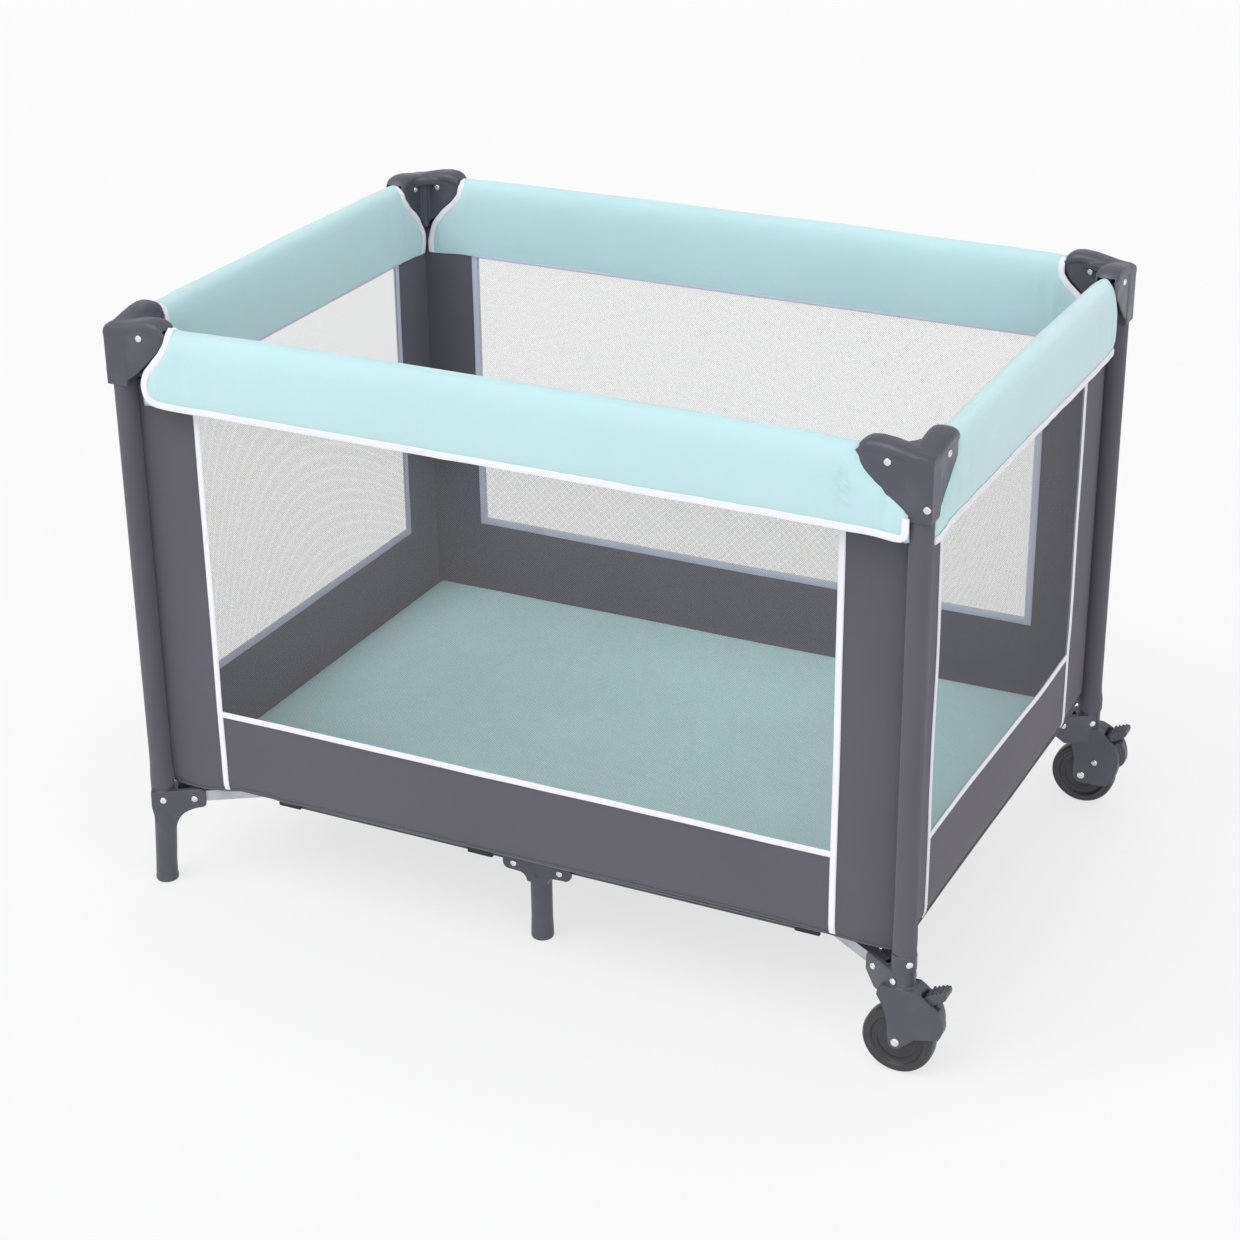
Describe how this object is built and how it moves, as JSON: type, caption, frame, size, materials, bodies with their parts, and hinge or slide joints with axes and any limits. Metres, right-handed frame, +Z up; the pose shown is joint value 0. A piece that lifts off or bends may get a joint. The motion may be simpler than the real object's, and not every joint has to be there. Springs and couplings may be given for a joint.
{
  "type": "playpen",
  "caption": "Rectangular folding playpen with padded rails, see-through mesh sides, a padded floor mat, casters at one end and feet at the other.",
  "frame": {"origin": "on the floor, under the middle of the whole outline", "axes": "+X along the long sides towards the casters, -Y to the front long side, +Z up"},
  "size_m": [1.0586, 0.725, 0.7558],
  "materials": {
    "steel_tube": "satin grey coated steel tube",
    "grey_plastic": "fine-grained moulded plastic",
    "black_plastic": "matte moulded plastic",
    "wheel_black": "semi-gloss hard wheel",
    "cover_fabric": "pale teal woven polyester over foam",
    "wall_fabric": "plain woven grey polyester",
    "mesh_net": "knitted grey net",
    "mattress_fabric": "teal woven polyester with a fine dot",
    "piping_white": "white woven binding tape",
    "binding_grey": "grey woven binding tape",
    "rivet_steel": "bright domed rivet"
  },
  "bodies": {
    "post_front_left": {"corner_post_front_left": "steel_tube", "top_bracket_front_left": "grey_plastic", "foot_bracket_front_left": "grey_plastic", "side_panel_front": "wall_fabric", "mesh_window_front": "mesh_net"},
    "arm_front_left": {"floor_arm_front_left": "steel_tube"},
    "post_front_right": {"corner_post_front_right": "steel_tube", "top_bracket_front_right": "grey_plastic", "caster_bracket_front_right": "grey_plastic"},
    "arm_front_right": {"floor_arm_front_right": "steel_tube"},
    "post_rear_right": {"corner_post_rear_right": "steel_tube", "top_bracket_rear_right": "grey_plastic", "caster_bracket_rear_right": "grey_plastic", "side_panel_right": "wall_fabric", "mesh_window_right": "mesh_net"},
    "arm_rear_right": {"floor_arm_rear_right": "steel_tube"},
    "post_rear_left": {"corner_post_rear_left": "steel_tube", "top_bracket_rear_left": "grey_plastic", "foot_bracket_rear_left": "grey_plastic", "side_panel_rear": "wall_fabric", "mesh_window_rear": "mesh_net", "side_panel_left": "wall_fabric", "mesh_window_left": "mesh_net"},
    "arm_rear_left": {"floor_arm_rear_left": "steel_tube"},
    "hub": {"center_hub": "grey_plastic", "floor_fabric": "wall_fabric"},
    "long_rail_front_left": {"long_half_rail_front_left": "steel_tube"},
    "short_rail_front_left": {"short_half_rail_front_left": "steel_tube"},
    "long_rail_front_right": {"long_half_rail_front_right": "steel_tube"},
    "short_rail_front_right": {"short_half_rail_front_right": "steel_tube"},
    "long_rail_rear_right": {"long_half_rail_rear_right": "steel_tube"},
    "short_rail_rear_right": {"short_half_rail_rear_right": "steel_tube"},
    "long_rail_rear_left": {"long_half_rail_rear_left": "steel_tube"},
    "short_rail_rear_left": {"short_half_rail_rear_left": "steel_tube"},
    "latch_front": {"rail_latch_front": "steel_tube", "rail_cover_front": "cover_fabric"},
    "latch_rear": {"rail_latch_rear": "steel_tube", "rail_cover_rear": "cover_fabric"},
    "latch_left": {"rail_latch_left": "steel_tube", "rail_cover_left": "cover_fabric"},
    "latch_right": {"rail_latch_right": "steel_tube", "rail_cover_right": "cover_fabric"},
    "connector_front_left": {"strut_connector_front_left": "black_plastic"},
    "connector_front_right": {"strut_connector_front_right": "black_plastic"},
    "connector_rear_right": {"strut_connector_rear_right": "black_plastic"},
    "connector_rear_left": {"strut_connector_rear_left": "black_plastic"},
    "strut_front_right": {"floor_strut_front_right": "steel_tube"},
    "middle_foot_front": {"middle_foot_front": "grey_plastic"},
    "strut_front_left": {"floor_strut_front_left": "steel_tube"},
    "strut_rear_right": {"floor_strut_rear_right": "steel_tube"},
    "middle_foot_rear": {"middle_foot_rear": "grey_plastic"},
    "strut_rear_left": {"floor_strut_rear_left": "steel_tube"},
    "mattress_middle": {"mattress_middle": "mattress_fabric"},
    "mattress_left": {"mattress_left": "mattress_fabric"},
    "mattress_right": {"mattress_right": "mattress_fabric"},
    "wheel_front_right": {"caster_wheel_front_right": "wheel_black"},
    "pedal_front_right": {"brake_pedal_front_right": "grey_plastic"},
    "wheel_rear_right": {"caster_wheel_rear_right": "wheel_black"},
    "pedal_rear_right": {"brake_pedal_rear_right": "grey_plastic"}
  },
  "joints": [
    {"name": "fold", "type": "hinge", "parent": "post_rear_left", "child": "arm_rear_left", "pos_m": [-0.47932, 0.32425, 0.118], "axis": [-0.5389, -0.8423, 0], "range_deg": [0, 84], "deforming": ["side_panel_front", "side_panel_rear", "side_panel_left", "side_panel_right", "mesh_window_front", "mesh_window_rear", "mesh_window_left", "mesh_window_right", "rail_cover_front", "rail_cover_rear", "rail_cover_left", "rail_cover_right", "floor_fabric", "mattress_middle", "mattress_left", "mattress_right"]},
    {"name": "hub_pivot_rear_left", "type": "hinge", "parent": "arm_rear_left", "child": "hub", "pos_m": [-0.06982, 0.06225, 0.118], "axis": [-0.5389, -0.8423, 0], "range_deg": [-84, 0]},
    {"name": "hub_pivot_front_left", "type": "hinge", "parent": "hub", "child": "arm_front_left", "pos_m": [-0.06982, -0.06225, 0.118], "axis": [0.5389, -0.8423, 0], "range_deg": [0, 84]},
    {"name": "corner_pivot_front_left", "type": "hinge", "parent": "arm_front_left", "child": "post_front_left", "pos_m": [-0.47932, -0.32425, 0.118], "axis": [0.5389, -0.8423, 0], "range_deg": [-84, 0]},
    {"name": "hub_pivot_front_right", "type": "hinge", "parent": "hub", "child": "arm_front_right", "pos_m": [0.03132, -0.06225, 0.118], "axis": [0.5389, 0.8423, 0], "range_deg": [0, 84]},
    {"name": "corner_pivot_front_right", "type": "hinge", "parent": "arm_front_right", "child": "post_front_right", "pos_m": [0.44082, -0.32425, 0.118], "axis": [0.5389, 0.8423, 0], "range_deg": [-84, 0]},
    {"name": "hub_pivot_rear_right", "type": "hinge", "parent": "hub", "child": "arm_rear_right", "pos_m": [0.03132, 0.06225, 0.118], "axis": [-0.5389, 0.8423, 0], "range_deg": [0, 84]},
    {"name": "corner_pivot_rear_right", "type": "hinge", "parent": "arm_rear_right", "child": "post_rear_right", "pos_m": [0.44082, 0.32425, 0.118], "axis": [-0.5389, 0.8423, 0], "range_deg": [-84, 0]},
    {"name": "long_rail_pivot_front_left", "type": "hinge", "parent": "post_front_left", "child": "long_rail_front_left", "pos_m": [-0.47675, -0.345, 0.729], "axis": [0, 1, 0], "range_deg": [0, 84]},
    {"name": "short_rail_pivot_front_left", "type": "hinge", "parent": "post_front_left", "child": "short_rail_front_left", "pos_m": [-0.51175, -0.31, 0.729], "axis": [-1, 0, 0], "range_deg": [0, 84]},
    {"name": "long_rail_pivot_front_right", "type": "hinge", "parent": "post_front_right", "child": "long_rail_front_right", "pos_m": [0.43825, -0.345, 0.729], "axis": [0, -1, 0], "range_deg": [0, 84]},
    {"name": "short_rail_pivot_front_right", "type": "hinge", "parent": "post_front_right", "child": "short_rail_front_right", "pos_m": [0.47325, -0.31, 0.729], "axis": [-1, 0, 0], "range_deg": [0, 84]},
    {"name": "long_rail_pivot_rear_right", "type": "hinge", "parent": "post_rear_right", "child": "long_rail_rear_right", "pos_m": [0.43825, 0.345, 0.729], "axis": [0, -1, 0], "range_deg": [0, 84]},
    {"name": "short_rail_pivot_rear_right", "type": "hinge", "parent": "post_rear_right", "child": "short_rail_rear_right", "pos_m": [0.47325, 0.31, 0.729], "axis": [1, 0, 0], "range_deg": [0, 84]},
    {"name": "long_rail_pivot_rear_left", "type": "hinge", "parent": "post_rear_left", "child": "long_rail_rear_left", "pos_m": [-0.47675, 0.345, 0.729], "axis": [0, 1, 0], "range_deg": [0, 84]},
    {"name": "short_rail_pivot_rear_left", "type": "hinge", "parent": "post_rear_left", "child": "short_rail_rear_left", "pos_m": [-0.51175, 0.31, 0.729], "axis": [1, 0, 0], "range_deg": [0, 84]},
    {"name": "latch_pivot_front", "type": "hinge", "parent": "long_rail_front_left", "child": "latch_front", "pos_m": [-0.06725, -0.345, 0.729], "axis": [0, 1, 0], "range_deg": [-84, 0]},
    {"name": "latch_pivot_rear", "type": "hinge", "parent": "long_rail_rear_left", "child": "latch_rear", "pos_m": [-0.06725, 0.345, 0.729], "axis": [0, 1, 0], "range_deg": [-84, 0]},
    {"name": "latch_pivot_left", "type": "hinge", "parent": "short_rail_rear_left", "child": "latch_left", "pos_m": [-0.51175, 0.048, 0.729], "axis": [1, 0, 0], "range_deg": [-84, 0]},
    {"name": "latch_pivot_right", "type": "hinge", "parent": "short_rail_rear_right", "child": "latch_right", "pos_m": [0.47325, 0.048, 0.729], "axis": [1, 0, 0], "range_deg": [-84, 0]},
    {"name": "connector_pivot_front_left", "type": "hinge", "parent": "arm_front_left", "child": "connector_front_left", "pos_m": [-0.37883, -0.25996, 0.118], "axis": [0.5389, -0.8423, 0], "range_deg": [-84, 0]},
    {"name": "connector_pivot_front_right", "type": "hinge", "parent": "arm_front_right", "child": "connector_front_right", "pos_m": [0.34033, -0.25996, 0.118], "axis": [0.5389, 0.8423, 0], "range_deg": [-84, 0]},
    {"name": "connector_pivot_rear_right", "type": "hinge", "parent": "arm_rear_right", "child": "connector_rear_right", "pos_m": [0.34033, 0.25996, 0.118], "axis": [-0.5389, 0.8423, 0], "range_deg": [-84, 0]},
    {"name": "connector_pivot_rear_left", "type": "hinge", "parent": "arm_rear_left", "child": "connector_rear_left", "pos_m": [-0.37883, 0.25996, 0.118], "axis": [-0.5389, -0.8423, 0], "range_deg": [-84, 0]},
    {"name": "strut_pivot_front_right", "type": "hinge", "parent": "connector_front_right", "child": "strut_front_right", "pos_m": [0.32075, -0.268, 0.101], "axis": [0, 1, 0], "range_deg": [0, 84]},
    {"name": "middle_foot_pivot_front_right", "type": "hinge", "parent": "strut_front_right", "child": "middle_foot_front", "pos_m": [0.01175, -0.268, 0.101], "axis": [0, 1, 0], "range_deg": [-84, 0]},
    {"name": "middle_foot_pivot_front_left", "type": "hinge", "parent": "middle_foot_front", "child": "strut_front_left", "pos_m": [-0.05025, -0.268, 0.101], "axis": [0, -1, 0], "range_deg": [0, 84]},
    {"name": "strut_pivot_rear_right", "type": "hinge", "parent": "connector_rear_right", "child": "strut_rear_right", "pos_m": [0.32075, 0.268, 0.101], "axis": [0, 1, 0], "range_deg": [0, 84]},
    {"name": "middle_foot_pivot_rear_right", "type": "hinge", "parent": "strut_rear_right", "child": "middle_foot_rear", "pos_m": [0.01175, 0.268, 0.101], "axis": [0, 1, 0], "range_deg": [-84, 0]},
    {"name": "middle_foot_pivot_rear_left", "type": "hinge", "parent": "middle_foot_rear", "child": "strut_rear_left", "pos_m": [-0.05025, 0.268, 0.101], "axis": [0, -1, 0], "range_deg": [0, 84]},
    {"name": "mattress_lift", "type": "slide", "parent": "hub", "child": "mattress_middle", "axis": [0, 0, 1], "range_m": [0, 0.65]},
    {"name": "mattress_fold_left", "type": "hinge", "parent": "mattress_middle", "child": "mattress_left", "pos_m": [-0.10425, 0, 0.128], "axis": [0, -1, 0], "range_deg": [0, 90]},
    {"name": "mattress_fold_right", "type": "hinge", "parent": "mattress_middle", "child": "mattress_right", "pos_m": [0.06575, 0, 0.128], "axis": [0, 1, 0], "range_deg": [0, 90]},
    {"name": "wheel_spin_front_right", "type": "hinge", "parent": "post_front_right", "child": "wheel_front_right", "pos_m": [0.47125, -0.345, 0.042], "axis": [0, 1, 0], "continuous": true},
    {"name": "brake_pedal_front_right", "type": "hinge", "parent": "post_front_right", "child": "pedal_front_right", "pos_m": [0.50625, -0.345, 0.099], "axis": [0, 1, 0], "range_deg": [0, 18]},
    {"name": "wheel_spin_rear_right", "type": "hinge", "parent": "post_rear_right", "child": "wheel_rear_right", "pos_m": [0.47125, 0.345, 0.042], "axis": [0, 1, 0], "continuous": true},
    {"name": "brake_pedal_rear_right", "type": "hinge", "parent": "post_rear_right", "child": "pedal_rear_right", "pos_m": [0.50625, 0.345, 0.099], "axis": [0, 1, 0], "range_deg": [0, 18]}
  ],
  "couplings": [
    {"joint": "hub_pivot_rear_left", "follows": "fold", "ratio": -1},
    {"joint": "hub_pivot_front_left", "follows": "fold", "ratio": 1},
    {"joint": "corner_pivot_front_left", "follows": "fold", "ratio": -1},
    {"joint": "hub_pivot_front_right", "follows": "fold", "ratio": 1},
    {"joint": "corner_pivot_front_right", "follows": "fold", "ratio": -1},
    {"joint": "hub_pivot_rear_right", "follows": "fold", "ratio": 1},
    {"joint": "corner_pivot_rear_right", "follows": "fold", "ratio": -1},
    {"joint": "long_rail_pivot_front_left", "follows": "fold", "ratio": 1},
    {"joint": "short_rail_pivot_front_left", "follows": "fold", "ratio": 1},
    {"joint": "long_rail_pivot_front_right", "follows": "fold", "ratio": 1},
    {"joint": "short_rail_pivot_front_right", "follows": "fold", "ratio": 1},
    {"joint": "long_rail_pivot_rear_right", "follows": "fold", "ratio": 1},
    {"joint": "short_rail_pivot_rear_right", "follows": "fold", "ratio": 1},
    {"joint": "long_rail_pivot_rear_left", "follows": "fold", "ratio": 1},
    {"joint": "short_rail_pivot_rear_left", "follows": "fold", "ratio": 1},
    {"joint": "latch_pivot_front", "follows": "fold", "ratio": -1},
    {"joint": "latch_pivot_rear", "follows": "fold", "ratio": -1},
    {"joint": "latch_pivot_left", "follows": "fold", "ratio": -1},
    {"joint": "latch_pivot_right", "follows": "fold", "ratio": -1},
    {"joint": "connector_pivot_front_left", "follows": "fold", "ratio": -1},
    {"joint": "connector_pivot_front_right", "follows": "fold", "ratio": -1},
    {"joint": "connector_pivot_rear_right", "follows": "fold", "ratio": -1},
    {"joint": "connector_pivot_rear_left", "follows": "fold", "ratio": -1},
    {"joint": "strut_pivot_front_right", "follows": "fold", "ratio": 1},
    {"joint": "middle_foot_pivot_front_right", "follows": "fold", "ratio": -1},
    {"joint": "middle_foot_pivot_front_left", "follows": "fold", "ratio": 1},
    {"joint": "strut_pivot_rear_right", "follows": "fold", "ratio": 1},
    {"joint": "middle_foot_pivot_rear_right", "follows": "fold", "ratio": -1},
    {"joint": "middle_foot_pivot_rear_left", "follows": "fold", "ratio": 1},
    {"joint": "mattress_fold_left", "follows": "fold", "ratio": 1.0714},
    {"joint": "mattress_fold_right", "follows": "fold", "ratio": 1.0714}
  ]
}
